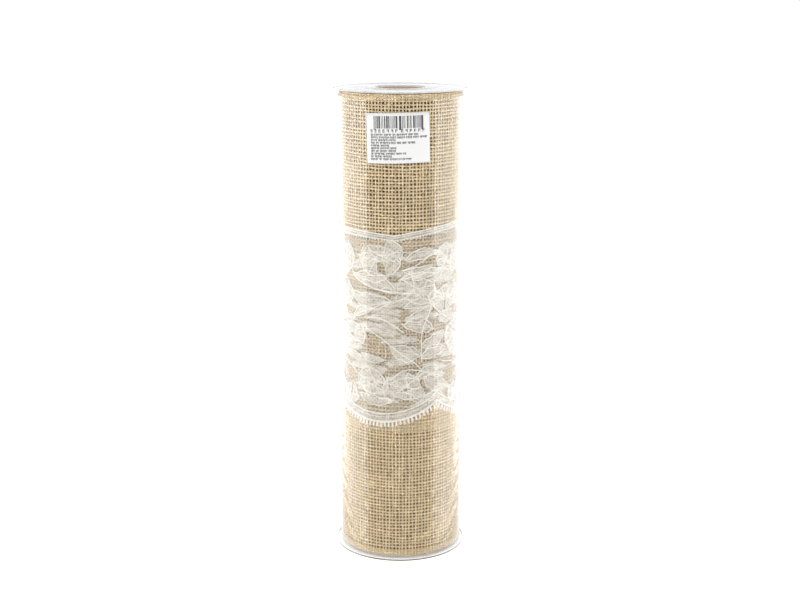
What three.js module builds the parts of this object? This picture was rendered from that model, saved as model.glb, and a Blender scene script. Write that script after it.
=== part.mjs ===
// A lace-trimmed jute table runner, wound on a cardboard tube between two push-in clear
// plastic end flanges, held shut by a wrap of clear film that carries a paper label.
//
// Frame: millimetres, +Z up along the tube, origin at the centre of the foot. The label
// faces -Y. Angles are measured about +Z from +X, so the front is at -90 degrees.
import * as THREE from "three";

// Overall sizes.
const overallHeight = 285;
const flangeDiameter = 80;

// The tube, and the flanges whose hubs push into its ends.
const hubBore = 30;
const hubWall = 1;
const hubLength = 16;
const hubLead = 0.6; // chamfer that leads the hub into the tube
const flangeThickness = 1.2;
const flangeEdgeRound = 0.35;
const coreWall = 1.5;
const pushFitGap = 0.3; // around the hub, and between a flange and the tube's end

// The runner: a jute cloth with a lace band sewn along its middle by two rows of stitches.
const runnerLength = 2750;
const clothEdgeGap = 0.5; // from each long edge of the cloth to the flange beside it
const juteThickness = 0.73;
const laceWidth = 117;
const laceDrop = 2.5; // how far the band's middle lies below the roll's
const laceThickness = 0.12;
const stitchThickness = 0.08;
const stitchWidth = 1.2;
const lowerStitchInset = 13.5; // from the lace's lower edge to the row of stitches, above its scallops
const upperStitchInset = 6.5; // from the lace's upper edge to the row of stitches
const layerGap = 0.06; // air between each layer and the next
const tailAngle = THREE.MathUtils.degToRad(62); // where the outer end lies, at the back

// The strip of double-sided tape that holds the cloth's inner end on the tube.
const tapeWidth = 18;
const tapeThickness = 0.1;
const tapeGap = 0.1; // from the tape to the tube under it, and to the cloth over it
const tapeEndInset = 6;

// The film wrap and the label stuck on it.
const filmThickness = 0.1;
const filmGap = 0.1;
const filmInset = 1.4; // from the cloth's long edges to the film's
const filmLap = 16; // how far the film's outer end lies over its inner end
const filmRise = 0.25; // how much further out the film lies after one turn
const filmStart = THREE.MathUtils.degToRad(98);
const labelWidth = 38;
const labelHeight = 29;
const labelInset = 12; // from the label's upper edge to the top of the roll
const labelThickness = 0.1;
const labelGap = 0.1;
const labelAngle = THREE.MathUtils.degToRad(-92);

// How finely the round shapes are cut into facets.
const clothStepsPerTurn = 24;
const filmStepsPerTurn = 96;
const roundSteps = 64;
const edgeRoundSteps = 2;

// Sizes that follow from the ones above.
const flangeRadius = flangeDiameter / 2;
const boreRadius = hubBore / 2;
const hubRadius = boreRadius + hubWall;
const coreBoreRadius = hubRadius + pushFitGap;
const coreRadius = coreBoreRadius + coreWall;
const coreBottom = flangeThickness + pushFitGap;
const coreTop = overallHeight - coreBottom;
const clothBottom = flangeThickness + clothEdgeGap;
const clothTop = overallHeight - clothBottom;
const tapeRadius = coreRadius + tapeGap;
const juteRadius = facetedRadius(tapeRadius + tapeThickness + tapeGap, clothStepsPerTurn);
const laceRadius = juteRadius + juteThickness + layerGap;
const stitchRadius = laceRadius + laceThickness + layerGap;
const windingPitch = stitchRadius + stitchThickness + layerGap - juteRadius;
const windingAngle = angleForLength(runnerLength, juteRadius + juteThickness / 2, windingPitch);
const innerEndAngle = tailAngle - windingAngle;
const laceCentre = overallHeight / 2 - laceDrop;
const laceBottom = laceCentre - laceWidth / 2;
const laceTop = laceCentre + laceWidth / 2;
const rollRadius = stitchRadius + stitchThickness + (windingPitch * windingAngle) / (2 * Math.PI);
const filmRadius = facetedRadius(rollRadius + filmGap, filmStepsPerTurn);
const filmEnd = filmStart + 2 * Math.PI + filmLap / filmRadius;
const labelRadius = facetedRadius(filmRadius + filmRise + filmThickness + labelGap, filmStepsPerTurn);
const labelTop = overallHeight - labelInset;
const labelBottom = labelTop - labelHeight;

// The angle that a spiral turns through when its middle line has the given length.
function angleForLength(length, radius, pitch) {
  const rise = pitch / (2 * Math.PI);
  return (Math.sqrt(radius * radius + 2 * rise * length) - radius) / rise;
}

// The corner radius of a ring of flat facets whose middles clear a round of the given radius.
function facetedRadius(clearRadius, stepsPerTurn) {
  return clearRadius / Math.cos(Math.PI / stepsPerTurn);
}

// The outline, seen from above, of a strip wound from one angle to another. Its inner face
// starts at the given radius and moves out by the pitch in every turn. Every turn has its
// corners at the same angles, so the flats of one wrap lie along those of the next.
function woundOutline({ radius, pitch, thickness, from, to, stepsPerTurn }) {
  const step = (2 * Math.PI) / stepsPerTurn;
  const steps = Math.ceil((to - from) / step);
  const inner = [];
  const outer = [];
  for (let i = 0; i <= steps; i++) {
    const turned = Math.min(i * step, to - from);
    const r = radius + (pitch * turned) / (2 * Math.PI);
    const direction = new THREE.Vector2(Math.cos(from + turned), Math.sin(from + turned));
    inner.push(direction.clone().multiplyScalar(r));
    outer.push(direction.clone().multiplyScalar(r + thickness));
  }
  return new THREE.Shape([...outer, ...inner.reverse()]);
}

// A wound strip that stands between two heights.
function woundStrip(strip, bottom, top) {
  const geometry = new THREE.ExtrudeGeometry(woundOutline(strip), {
    depth: top - bottom,
    bevelEnabled: false,
  });
  return geometry.translate(0, 0, bottom);
}

// A closed profile of [radius, height] corners, turned about the Z axis.
function turned(profile) {
  const points = [...profile, profile[0]].map(([r, z]) => new THREE.Vector2(r, z));
  return new THREE.LatheGeometry(points, roundSteps).rotateX(Math.PI / 2);
}

// A quarter round between two faces, as [radius, height] corners.
function quarterRound(centreRadius, centreHeight, radius, fromAngle) {
  return Array.from({ length: edgeRoundSteps + 1 }, (_, i) => {
    const a = fromAngle + (i * Math.PI) / 2 / edgeRoundSteps;
    return [centreRadius + radius * Math.cos(a), centreHeight + radius * Math.sin(a)];
  });
}

// An end flange as it lies at the foot: a disc with a rounded rim, and the hub that stands
// up into the tube. Both have the bore through them.
function flangeGeometry() {
  const hubTop = flangeThickness + hubLength;
  const rim = flangeRadius - flangeEdgeRound;
  return turned([
    [boreRadius, 0],
    ...quarterRound(rim, flangeEdgeRound, flangeEdgeRound, -Math.PI / 2),
    ...quarterRound(rim, flangeThickness - flangeEdgeRound, flangeEdgeRound, 0),
    [hubRadius, flangeThickness],
    [hubRadius, hubTop - hubLead],
    [hubRadius - hubLead, hubTop],
    [boreRadius, hubTop],
  ]);
}

function coreGeometry() {
  return turned([
    [coreBoreRadius, coreBottom],
    [coreRadius, coreBottom],
    [coreRadius, coreTop],
    [coreBoreRadius, coreTop],
  ]);
}

// The tape lies on the tube, under the start of the first wrap.
function coreTapeGeometry() {
  return woundStrip(
    {
      radius: facetedRadius(tapeRadius, filmStepsPerTurn),
      pitch: 0,
      thickness: tapeThickness,
      from: innerEndAngle,
      to: innerEndAngle + tapeWidth / tapeRadius,
      stepsPerTurn: filmStepsPerTurn,
    },
    coreBottom + tapeEndInset,
    coreTop - tapeEndInset,
  );
}

// Jute, lace and stitches are wound together, the stitches outermost in each wrap, so all of
// them take the same angles and the same pitch.
function runnerGeometry(radius, thickness, bottom, top) {
  return woundStrip(
    {
      radius,
      pitch: windingPitch,
      thickness,
      from: innerEndAngle,
      to: tailAngle,
      stepsPerTurn: clothStepsPerTurn,
    },
    bottom,
    top,
  );
}

function filmGeometry() {
  return woundStrip(
    {
      radius: filmRadius,
      pitch: filmRise,
      thickness: filmThickness,
      from: filmStart,
      to: filmEnd,
      stepsPerTurn: filmStepsPerTurn,
    },
    clothBottom + filmInset,
    clothTop - filmInset,
  );
}

// One row of stitches, with its middle at the given height.
function stitchGeometry(height) {
  return runnerGeometry(stitchRadius, stitchThickness, height - stitchWidth / 2, height + stitchWidth / 2);
}

// The label clears the film where the film stands furthest out under it.
function labelGeometry() {
  const halfAngle = labelWidth / 2 / labelRadius;
  return woundStrip(
    {
      radius: labelRadius,
      pitch: 0,
      thickness: labelThickness,
      from: labelAngle - halfAngle,
      to: labelAngle + halfAngle,
      stepsPerTurn: filmStepsPerTurn,
    },
    labelBottom,
    labelTop,
  );
}

function material(color, roughness, opacity = 1) {
  return new THREE.MeshStandardMaterial({
    color,
    roughness,
    metalness: 0,
    opacity,
    transparent: opacity < 1,
  });
}

const finishes = {
  clearPlastic: material(0xf2f5f5, 0.12, 0.35),
  cardboard: material(0xb08d64, 0.9),
  jute: material(0xc9ac7e, 0.95),
  lace: material(0xf1efe8, 0.85),
  thread: material(0xfaf8f2, 0.8),
  tape: material(0xe9e2c8, 0.6),
  film: material(0xfafcff, 0.06, 0.2),
  paper: material(0xf7f7f5, 0.7),
};

function piece(name, geometry, finish) {
  const mesh = new THREE.Mesh(geometry, finish);
  mesh.name = name;
  return mesh;
}

const runner = new THREE.Group();
runner.add(
  piece("runner_jute", runnerGeometry(juteRadius, juteThickness, clothBottom, clothTop), finishes.jute),
  piece("runner_lace", runnerGeometry(laceRadius, laceThickness, laceBottom, laceTop), finishes.lace),
  piece("lower_stitching", stitchGeometry(laceBottom + lowerStitchInset), finishes.thread),
  piece("upper_stitching", stitchGeometry(laceTop - upperStitchInset), finishes.thread),
);

const roll = new THREE.Group();
roll.add(
  piece("core_tube", coreGeometry(), finishes.cardboard),
  piece("core_tape", coreTapeGeometry(), finishes.tape),
  runner,
  piece("film_wrap", filmGeometry(), finishes.film),
  piece("product_label", labelGeometry(), finishes.paper),
);

// The top flange is the same moulding turned over, so its hub points down.
const topFlange = piece("top_flange", flangeGeometry(), finishes.clearPlastic);
topFlange.rotation.x = Math.PI;
topFlange.position.z = overallHeight;

const spool = new THREE.Group();
spool.add(roll, piece("bottom_flange", flangeGeometry(), finishes.clearPlastic), topFlange);

export default spool;
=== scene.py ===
"""A rolled jute table runner with a lace band, between clear end flanges, in clear film.

Everything is in metres, +Z up along the roll, with the label on the -Y side. Most pieces of
the outer wrap are drawn flat first, with X along the cloth, Z up and -Y outwards, and are
then wound onto the roll.
"""

import math

import bmesh
import bpy
import numpy as np
from bpy.props import FloatProperty, FloatVectorProperty, IntProperty, PointerProperty
from bpy.types import Operator, Panel, PropertyGroup
from mathutils import Matrix, Vector


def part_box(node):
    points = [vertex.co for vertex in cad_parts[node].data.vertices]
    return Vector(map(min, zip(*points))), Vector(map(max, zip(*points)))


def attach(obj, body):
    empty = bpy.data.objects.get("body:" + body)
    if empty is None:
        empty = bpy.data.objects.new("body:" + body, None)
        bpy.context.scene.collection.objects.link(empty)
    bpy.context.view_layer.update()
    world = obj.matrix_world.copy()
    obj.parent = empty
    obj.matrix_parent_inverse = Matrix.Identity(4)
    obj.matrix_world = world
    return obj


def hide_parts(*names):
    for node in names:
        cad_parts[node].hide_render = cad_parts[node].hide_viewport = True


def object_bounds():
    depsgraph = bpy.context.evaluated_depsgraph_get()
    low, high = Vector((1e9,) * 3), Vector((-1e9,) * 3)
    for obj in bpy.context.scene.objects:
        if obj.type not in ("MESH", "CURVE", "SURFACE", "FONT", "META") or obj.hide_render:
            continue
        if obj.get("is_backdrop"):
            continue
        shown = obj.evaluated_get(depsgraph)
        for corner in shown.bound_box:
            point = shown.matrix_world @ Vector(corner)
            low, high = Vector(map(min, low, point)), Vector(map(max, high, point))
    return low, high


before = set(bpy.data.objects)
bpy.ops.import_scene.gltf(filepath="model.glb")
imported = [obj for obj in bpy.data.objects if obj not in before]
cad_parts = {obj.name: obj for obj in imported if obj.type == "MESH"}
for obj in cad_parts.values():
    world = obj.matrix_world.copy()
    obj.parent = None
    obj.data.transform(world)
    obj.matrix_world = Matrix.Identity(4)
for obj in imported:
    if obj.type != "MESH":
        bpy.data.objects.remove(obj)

bl_info = {
    "name": "Rolled Table Runner",
    "version": (1, 0, 0),
    "blender": (4, 5, 0),
    "location": "3D View > Sidebar > Table Runner",
    "description": "Makes a lace-trimmed jute table runner wound on a tube between clear flanges",
    "category": "Mesh",
}

MM = 0.001
TURN = 2 * math.pi

# Places that come from the frame.
FRAME_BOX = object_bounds()
CORE_LOW, CORE_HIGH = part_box("core_tube")
CLOTH_LOW, CLOTH_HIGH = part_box("runner_jute")
LACE_LOW, LACE_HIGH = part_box("runner_lace")
FILM_LOW, FILM_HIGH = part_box("film_wrap")
LABEL_LOW, LABEL_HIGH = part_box("product_label")
LOWER_STITCH_LOW, LOWER_STITCH_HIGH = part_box("lower_stitching")
UPPER_STITCH_LOW, UPPER_STITCH_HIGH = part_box("upper_stitching")
FOOT_LOW, FOOT_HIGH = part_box("bottom_flange")
TOP_LOW, TOP_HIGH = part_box("top_flange")
FILM_RADIUS = (FILM_HIGH.x - FILM_LOW.x) / 2


# ---------------------------------------------------------------- sizes and colours


def length(name, default_mm, description):
    return FloatProperty(
        name=name, description=description, default=default_mm * MM, min=0, precision=5, unit="LENGTH"
    )


def angle(name, default_degrees, description):
    return FloatProperty(
        name=name, description=description, default=math.radians(default_degrees), unit="ROTATION"
    )


def colour(name, default, description):
    return FloatVectorProperty(
        name=name, description=description, default=default, size=3, min=0, max=1, subtype="COLOR"
    )


class RunnerWinding(PropertyGroup):
    """How the cloth is wound on its tube"""

    cloth_length: length("Cloth length", 2750, "Length of the runner when it is unrolled")
    first_gap: length("First gap", 0.3, "From the tube to the first wrap")
    film_room: length("Film room", 0.65, "From the middle of the last wrap to the film's CAD radius")
    tail: angle("Tail", 152, "Where the outer end lies, counted from the front towards +X")
    open_turn: angle("Open turn", 357, "How far round the roll the last wrap reaches")


class JuteSizes(PropertyGroup):
    """The woven jute"""

    pitch: length("Pitch", 2.04, "From one yarn to the next, both ways")
    half_width: length("Half width", 0.56, "Half the width of a yarn as it lies in the cloth")
    half_thickness: length("Half thickness", 0.31, "Half the thickness of a yarn")
    waviness: length("Waviness", 0.28, "How far a yarn bends over and under the others")
    wander: length("Wander", 0.4, "How far a yarn strays from its straight line")
    selvedge: length("Selvedge", 4.2, "Width of the dense border along each edge")
    selvedge_pitch: length("Selvedge pitch", 0.86, "From yarn to yarn in the dense border")
    inner_thickness: length("Inner thickness", 0.73, "Thickness of the cloth inside the roll")
    yarn_sides: IntProperty(name="Yarn sides", description="Sides of a yarn's section", default=5, min=3)
    light: colour("Light fibre", (0.84, 0.69, 0.435), "The lighter jute fibres")
    dark: colour("Dark fibre", (0.33, 0.225, 0.11), "The darker jute fibres")
    # Painted shade: the inner cloth gets this dark colour for the shadow between the yarns and inside the
    # roll.
    shade: colour("Inner cloth", (0.13, 0.083, 0.038), "The cloth seen inside the roll")


class LaceSizes(PropertyGroup):
    """The lace band and the thread that holds it"""

    repeat: length("Repeat", 72, "Length of the pattern, which is also a scallop's width")
    lower_cusp: length("Lower cusp", 23, "Where two of the lower scallops meet, from the front")
    scallop: length("Scallop", 12.6, "Depth of the lower scallops")
    upper_cusp: length("Upper cusp", 68, "Where two of the upper scallops meet, from the front")
    heading_rise: length("Heading rise", 2.6, "Depth of the upper scallops")
    slant: FloatProperty(name="Slant", description="Rise of the band along its length", default=0.03)
    net_pitch: length("Net pitch", 1.35, "From one row of the net to the next")
    net_thread: length("Net thread", 0.15, "Half the thickness of the net's thread")
    outline: length("Outline", 0.3, "Half the thickness of the cord round each motif")
    fill: length("Fill", 0.11, "Thickness of a motif's fill")
    border: length("Border", 5.6, "Width of the dense lower border")
    heading: length("Heading", 3.0, "Width of the dense upper border")
    fringe: length("Fringe", 3.1, "Length of the lashes along the lower edge")
    fringe_pitch: length("Fringe pitch", 2.3, "From lash to lash")
    thread: colour("Thread", (0.77, 0.745, 0.69), "The raised cords")
    cloth: colour("Fill", (0.585, 0.54, 0.46), "The filled motifs")


class PackSizes(PropertyGroup):
    """The tube, the flanges, the film and the label"""

    flange_edge: length("Flange edge", 0.35, "Rounding of a flange's rim")
    hub_lead: length("Hub lead", 0.6, "Chamfer at the end of a hub")
    bore: length("Bore", 30, "Diameter of the hole through the hubs")
    film_lap: length("Film lap", 16, "How far the film lies over its own start")
    film_crease: length("Film crease", 0.6, "Height of the film's creases")
    label_width: length("Label width", 38, "Width of the label")
    label_turn: angle("Label turn", -1.3, "How far the label is stuck out of true")
    label_place: angle("Label place", -1.8, "Where the label's middle lies, from the front")
    plastic: colour("Clear plastic", (0.97, 0.975, 0.98), "Tint of the clear flanges")
    # Painted shade: a dark tint in place of the dark line that a refracting clear edge shows.
    rim: colour("Rim", (0.14, 0.09, 0.05), "Tint of a flange seen through its edge")
    board: colour("Board", (0.47, 0.33, 0.20), "The cardboard tube")
    paper: colour("Paper", (0.58, 0.58, 0.57), "The label")
    ink: colour("Ink", (0.022, 0.022, 0.025), "The print on the label")


# ---------------------------------------------------------------- winding


def wander(place, seed):
    """A smooth, repeatable waver between about -1 and 1."""
    place, seed = np.asarray(place, float), np.asarray(seed, float)
    return (
        0.5 * np.sin(place + 12.9898 * seed)
        + 0.3 * np.sin(2.17 * place + 78.233 * seed + 1.3)
        + 0.2 * np.sin(4.63 * place + 37.719 * seed + 4.1)
    )


def scatter(seed):
    """A repeatable number from 0 to 1 for each seed."""
    return np.mod(np.sin(np.asarray(seed, float) * 12.9898 + 4.1414) * 43758.5453, 1)


def tail_radius():
    """The radius of the middle of the cloth at its outer end."""
    return FILM_RADIUS - bpy.context.scene.runner_winding.film_room


def start_radius():
    """The radius of the middle of the cloth at its inner end."""
    scene = bpy.context.scene
    return CORE_HIGH.x + scene.runner_winding.first_gap + scene.runner_jute.inner_thickness / 2


def winding_pitch():
    """How much further out each wrap lies, so that the whole cloth goes on the roll."""
    cloth_length = bpy.context.scene.runner_winding.cloth_length
    return math.pi * (tail_radius() ** 2 - start_radius() ** 2) / cloth_length


def cloth_radius(turned):
    """The radius of the middle of the last wrap, at an angle counted from the front."""
    tail = bpy.context.scene.runner_winding.tail
    return tail_radius() - winding_pitch() * (tail - turned) / TURN


def film_radius(turned):
    """As cloth_radius, but past the cloth's end the film slopes down to the wrap below."""
    tail = bpy.context.scene.runner_winding.tail
    past = np.clip((turned - tail) / math.radians(28), 0, 1)
    step = winding_pitch() * (1 - 0.25 * past)
    return cloth_radius(turned) - step * past * past * (3 - 2 * past)


def front_radius():
    return cloth_radius(0.0)


def coordinates(mesh):
    points = np.empty(len(mesh.vertices) * 3)
    mesh.vertices.foreach_get("co", points)
    return points.reshape(-1, 3)


def set_coordinates(mesh, points):
    mesh.vertices.foreach_set("co", np.ascontiguousarray(points, np.float32).ravel())
    mesh.update()


def store_flat(mesh, name="flat"):
    """Keeps where each point lay before winding, in millimetres, for the materials."""
    layer = mesh.attributes.new(name, "FLOAT_VECTOR", "POINT")
    layer.data.foreach_set("vector", np.ascontiguousarray(coordinates(mesh) / MM, np.float32).ravel())


def wind(mesh, radius=cloth_radius, level=0.0):
    """Winds a flat piece onto the roll: X goes round it, and -Y becomes outwards.

    X keeps its true length where the piece lies this level above the middle of the cloth."""
    points = coordinates(mesh)
    turned = points[:, 0] / (front_radius() + level)
    out = radius(turned) - points[:, 1]
    wound = np.stack([out * np.sin(turned), -out * np.cos(turned), points[:, 2]], axis=1)
    set_coordinates(mesh, wound)


# ---------------------------------------------------------------- making pieces


def finish_piece(mesh, name, body, materials, smooth=True):
    """Makes the mesh an object that rides on a body, with the given materials."""
    mesh.name = name
    for material in materials:
        mesh.materials.append(material)
    mesh.polygons.foreach_set("use_smooth", [smooth] * len(mesh.polygons))
    piece = bpy.data.objects.new(name, mesh)
    bpy.context.scene.collection.objects.link(piece)
    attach(piece, body)
    return piece


def mesh_from(bm, name):
    mesh = bpy.data.meshes.new(name)
    bm.to_mesh(mesh)
    bm.free()
    return mesh


def cords_mesh(name, paths, radius, sides_level=0):
    """Round cords along flat paths. Each path is (points, closed), a point (x, y, z, thickness)."""
    curve = bpy.data.curves.new(name, "CURVE")
    curve.dimensions = "3D"
    curve.bevel_depth = radius
    curve.bevel_resolution = sides_level
    curve.use_fill_caps = True
    for points, closed in paths:
        spline = curve.splines.new("POLY")
        spline.points.add(len(points) - 1)
        for place, (x, y, z, thickness) in zip(spline.points, points):
            place.co = (x, y, z, 1)
            place.radius = thickness
        spline.use_cyclic_u = closed
    holder = bpy.data.objects.new(name, curve)
    bpy.context.scene.collection.objects.link(holder)
    bpy.context.view_layer.update()
    mesh = bpy.data.meshes.new_from_object(holder.evaluated_get(bpy.context.evaluated_depsgraph_get()))
    bpy.data.objects.remove(holder)
    bpy.data.curves.remove(curve)
    mesh.materials.clear()
    return mesh


def spun(profile, steps):
    """A closed profile of (radius, height) corners, turned about Z."""
    bm = bmesh.new()
    corners = [bm.verts.new((r, 0, z)) for r, z in profile]
    edges = [bm.edges.new((corners[i - 1], corners[i])) for i in range(len(corners))]
    bmesh.ops.spin(
        bm, geom=corners + edges, cent=(0, 0, 0), axis=(0, 0, 1), angle=TURN, steps=steps, use_merge=True
    )
    bmesh.ops.remove_doubles(bm, verts=bm.verts, dist=1e-7)
    bmesh.ops.recalc_face_normals(bm, faces=bm.faces)
    return bm


def arc(centre, radius, start_degrees, end_degrees, steps):
    """Corners of a round stretch of a profile."""
    for i in range(steps + 1):
        a = math.radians(start_degrees + (end_degrees - start_degrees) * i / steps)
        yield centre[0] + radius * math.cos(a), centre[1] + radius * math.sin(a)


# ---------------------------------------------------------------- materials


class Nodes:
    """A material's node tree, with short ways to add nodes and join them."""

    def __init__(self, name):
        self.material = bpy.data.materials.new(name)
        self.material.use_nodes = True
        self.tree = self.material.node_tree
        self.tree.nodes.clear()
        self.output = self.tree.nodes.new("ShaderNodeOutputMaterial")

    def add(self, kind, settings=None, **inputs):
        node = self.tree.nodes.new("ShaderNode" + kind)
        for key, value in (settings or {}).items():
            setattr(node, key, value)
        for key, value in inputs.items():
            self.put(node.inputs[key.replace("_", " ")], value)
        return node

    def put(self, socket, value):
        if isinstance(value, bpy.types.NodeSocket):
            self.tree.links.new(value, socket)
        elif isinstance(value, tuple) and len(value) == 3 and socket.type == "RGBA":
            socket.default_value = (*value, 1)
        else:
            socket.default_value = value

    def math(self, operation, a, b=0.0):
        node = self.add("Math", {"operation": operation})
        self.put(node.inputs[0], a)
        self.put(node.inputs[1], b)
        return node.outputs[0]

    def mix(self, factor, a, b, blend="MIX"):
        node = self.add("Mix", {"data_type": "RGBA", "blend_type": blend})
        self.put(node.inputs[0], factor)
        self.put(node.inputs[6], a)
        self.put(node.inputs[7], b)
        return node.outputs[2]

    def attribute(self, name, scale=(1, 1, 1)):
        source = self.add("Attribute", {"attribute_name": name})
        return self.add("Mapping", Vector=source.outputs["Vector"], Scale=scale).outputs[0]

    def attribute_value(self, name):
        return self.add("Attribute", {"attribute_name": name}).outputs["Fac"]

    def object_place(self, scale=(1, 1, 1)):
        source = self.add("TexCoord")
        return self.add("Mapping", Vector=source.outputs["Object"], Scale=scale).outputs[0]

    def noise(self, vector, scale, detail=2.0, roughness=0.5):
        return self.add("TexNoise", Vector=vector, Scale=scale, Detail=detail, Roughness=roughness).outputs[0]

    def ramp(self, factor, low, high):
        """Stretches low to high over 0 to 1."""
        node = self.add("MapRange", {"clamp": True}, Value=factor)
        self.put(node.inputs["From Min"], low)
        self.put(node.inputs["From Max"], high)
        return node.outputs[0]

    def bump(self, height, strength, distance):
        return self.add("Bump", Height=height, Strength=strength, Distance=distance).outputs[0]

    def surface(self, shader):
        self.tree.links.new(shader.outputs[0], self.output.inputs["Surface"])
        return self.material


def jute_yarn_material():
    """Twisted jute: long pale and dark fibres, with a tone of its own for each yarn, and painted shade where
    a yarn dips under.
    """
    jute = bpy.context.scene.runner_jute
    n = Nodes("jute_yarn")
    streaks = n.noise(n.attribute("fibre", (0.30, 2.6, 7.3)), 1.0, 3.0, 0.6)
    tone = n.noise(n.attribute("fibre", (0.02, 0.0, 3.7)), 1.0, 1.0)
    specks = n.noise(n.object_place(), 2600.0, 2.0)
    fibre = n.math("ADD", n.math("MULTIPLY", streaks, 0.74), n.math("MULTIPLY", tone, 0.26))
    base = n.mix(n.ramp(fibre, 0.36, 0.60), tuple(jute.dark), tuple(jute.light))
    flecked = n.mix(n.ramp(specks, 0.60, 0.78), base, (0.86, 0.77, 0.56))
    crest = n.ramp(n.attribute_value("crest"), 0.42, 0.86)
    # Painted shade: the colour darkens towards the dark fibre colour where a yarn dips under another.
    painted_dip_shade = n.mix(crest, n.mix(0.66, flecked, tuple(jute.dark)), flecked)
    shader = n.add("BsdfPrincipled", Base_Color=painted_dip_shade, Roughness=0.82)
    shader.inputs["Sheen Weight"].default_value = 0.25
    shader.inputs["Sheen Roughness"].default_value = 0.5
    shader.inputs["Specular IOR Level"].default_value = 0.25
    n.put(shader.inputs["Normal"], n.bump(streaks, 0.55, 0.00018))
    return n.surface(shader)


def jute_inner_material():
    """The cloth inside the roll, seen between the yarns and as edges at the ends, coloured far darker than
    the yarns as painted shade.
    """
    jute = bpy.context.scene.runner_jute
    n = Nodes("jute_inner")
    fibres = n.noise(n.object_place((1, 1, 2.4)), 1100.0, 3.0, 0.65)
    patches = n.noise(n.object_place(), 160.0, 2.0)
    mixed = n.math("ADD", n.math("MULTIPLY", fibres, 0.7), n.math("MULTIPLY", patches, 0.3))
    # Both colours are painted shade, far darker than the jute's own colour.
    base = n.mix(n.ramp(mixed, 0.34, 0.66), (0.05, 0.03, 0.013), tuple(jute.shade))
    shader = n.add("BsdfPrincipled", Base_Color=base, Roughness=0.95)
    shader.inputs["Specular IOR Level"].default_value = 0.1
    n.put(shader.inputs["Normal"], n.bump(fibres, 0.8, 0.0004))
    return n.surface(shader)


def lace_thread_material():
    """The raised, softly shining cords of the lace."""
    lace = bpy.context.scene.runner_lace
    n = Nodes("lace_thread")
    twist = n.noise(n.attribute("flat", (2.2, 2.2, 2.2)), 1.0, 2.0)
    base = n.mix(n.ramp(twist, 0.35, 0.65), (0.66, 0.63, 0.57), tuple(lace.thread))
    shader = n.add("BsdfPrincipled", Base_Color=base, Roughness=0.55)
    shader.inputs["Sheen Weight"].default_value = 0.3
    shader.inputs["Specular IOR Level"].default_value = 0.35
    n.put(shader.inputs["Normal"], n.bump(twist, 0.4, 0.0001))
    return n.surface(shader)


def lace_fill_material():
    """The filled motifs: upright ribs of fine thread, open between them, denser in patches."""
    lace = bpy.context.scene.runner_lace
    n = Nodes("lace_fill")
    place = n.attribute("flat")
    ribs = n.add("TexWave", {"bands_direction": "X"}, Vector=place, Scale=0.30, Distortion=1.6, Detail=1.0)
    rows = n.add("TexWave", {"bands_direction": "Z"}, Vector=place, Scale=0.24, Distortion=2.4, Detail=1.0)
    weave = n.math("MULTIPLY", n.ramp(ribs.outputs[1], 0.0, 0.8), n.ramp(rows.outputs[1], -0.5, 0.7))
    patches = n.noise(place, 0.42, 3.0, 0.6)
    dense = n.ramp(n.math("ADD", n.math("MULTIPLY", weave, 0.45), patches), 0.35, 0.95)
    base = n.mix(dense, (0.42, 0.37, 0.285), tuple(lace.cloth))
    shader = n.add("BsdfPrincipled", Base_Color=base, Roughness=0.7, Alpha=n.ramp(dense, -0.55, 0.75))
    shader.inputs["Sheen Weight"].default_value = 0.25
    n.put(shader.inputs["Normal"], n.bump(dense, 0.6, 0.0003))
    return n.surface(shader)


def clear_material(name, tint, ior, roughness, ripple_scale, ripple_height, milk=0.0):
    """Clear plastic too thin to bend what is behind it: it passes light and mirrors the room.

    Milk is the share of light that it scatters."""
    n = Nodes(name)
    ripple = n.noise(n.object_place((1, 1, 0.35)), ripple_scale, 2.0)
    normal = n.bump(ripple, 0.35, ripple_height)
    clear = n.add("BsdfTransparent", Color=tint)
    cloudy = n.add("BsdfDiffuse", Color=(0.93, 0.93, 0.925))
    through = n.add("MixShader")
    n.put(through.inputs[0], milk)
    n.put(through.inputs[1], clear.outputs[0])
    n.put(through.inputs[2], cloudy.outputs[0])
    mirror = n.add("BsdfAnisotropic", Color=(1.0, 1.0, 1.0), Roughness=roughness, Normal=normal)
    aslant = n.math("POWER", n.add("LayerWeight", Blend=0.5, Normal=normal).outputs["Facing"], 5.0)
    straight = ((ior - 1) / (ior + 1)) ** 2
    both = n.add("MixShader")
    n.put(both.inputs[0], n.math("ADD", n.math("MULTIPLY", aslant, 1 - straight), straight))
    n.put(both.inputs[1], through.outputs[0])
    n.put(both.inputs[2], mirror.outputs[0])
    return n.surface(both)


def board_material():
    """Grey-brown board wound in a spiral, with its seam and its flecks."""
    n = Nodes("core_board")
    source = n.add("TexCoord").outputs["Object"]
    split = n.add("SeparateXYZ", Vector=source)
    turned = n.math("DIVIDE", n.math("ARCTAN2", split.outputs[1], split.outputs[0]), TURN)
    along = n.math("DIVIDE", split.outputs[2], 62 * MM)
    seam = n.math("FRACT", n.math("ADD", turned, along))
    line = n.ramp(n.math("MINIMUM", seam, n.math("SUBTRACT", 1.0, seam)), 0.0, 0.02)
    flecks = n.noise(source, 900.0, 3.0, 0.6)
    mottled = n.mix(n.ramp(flecks, 0.3, 0.7), (0.33, 0.22, 0.125), tuple(bpy.context.scene.runner_pack.board))
    base = n.mix(line, (0.17, 0.11, 0.06), mottled)
    shader = n.add("BsdfPrincipled", Base_Color=base, Roughness=0.9)
    n.put(shader.inputs["Normal"], n.bump(n.math("ADD", flecks, line), 0.5, 0.0002))
    return n.surface(shader)


def paper_material():
    """Smooth label paper with a faint tooth."""
    n = Nodes("label_paper")
    tooth = n.noise(n.attribute("flat"), 3.2, 3.0)
    base = n.mix(n.ramp(tooth, 0.3, 0.7), (0.56, 0.56, 0.55), tuple(bpy.context.scene.runner_pack.paper))
    shader = n.add("BsdfPrincipled", Base_Color=base, Roughness=0.48)
    n.put(shader.inputs["Normal"], n.bump(tooth, 0.15, 0.00005))
    return n.surface(shader)


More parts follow.
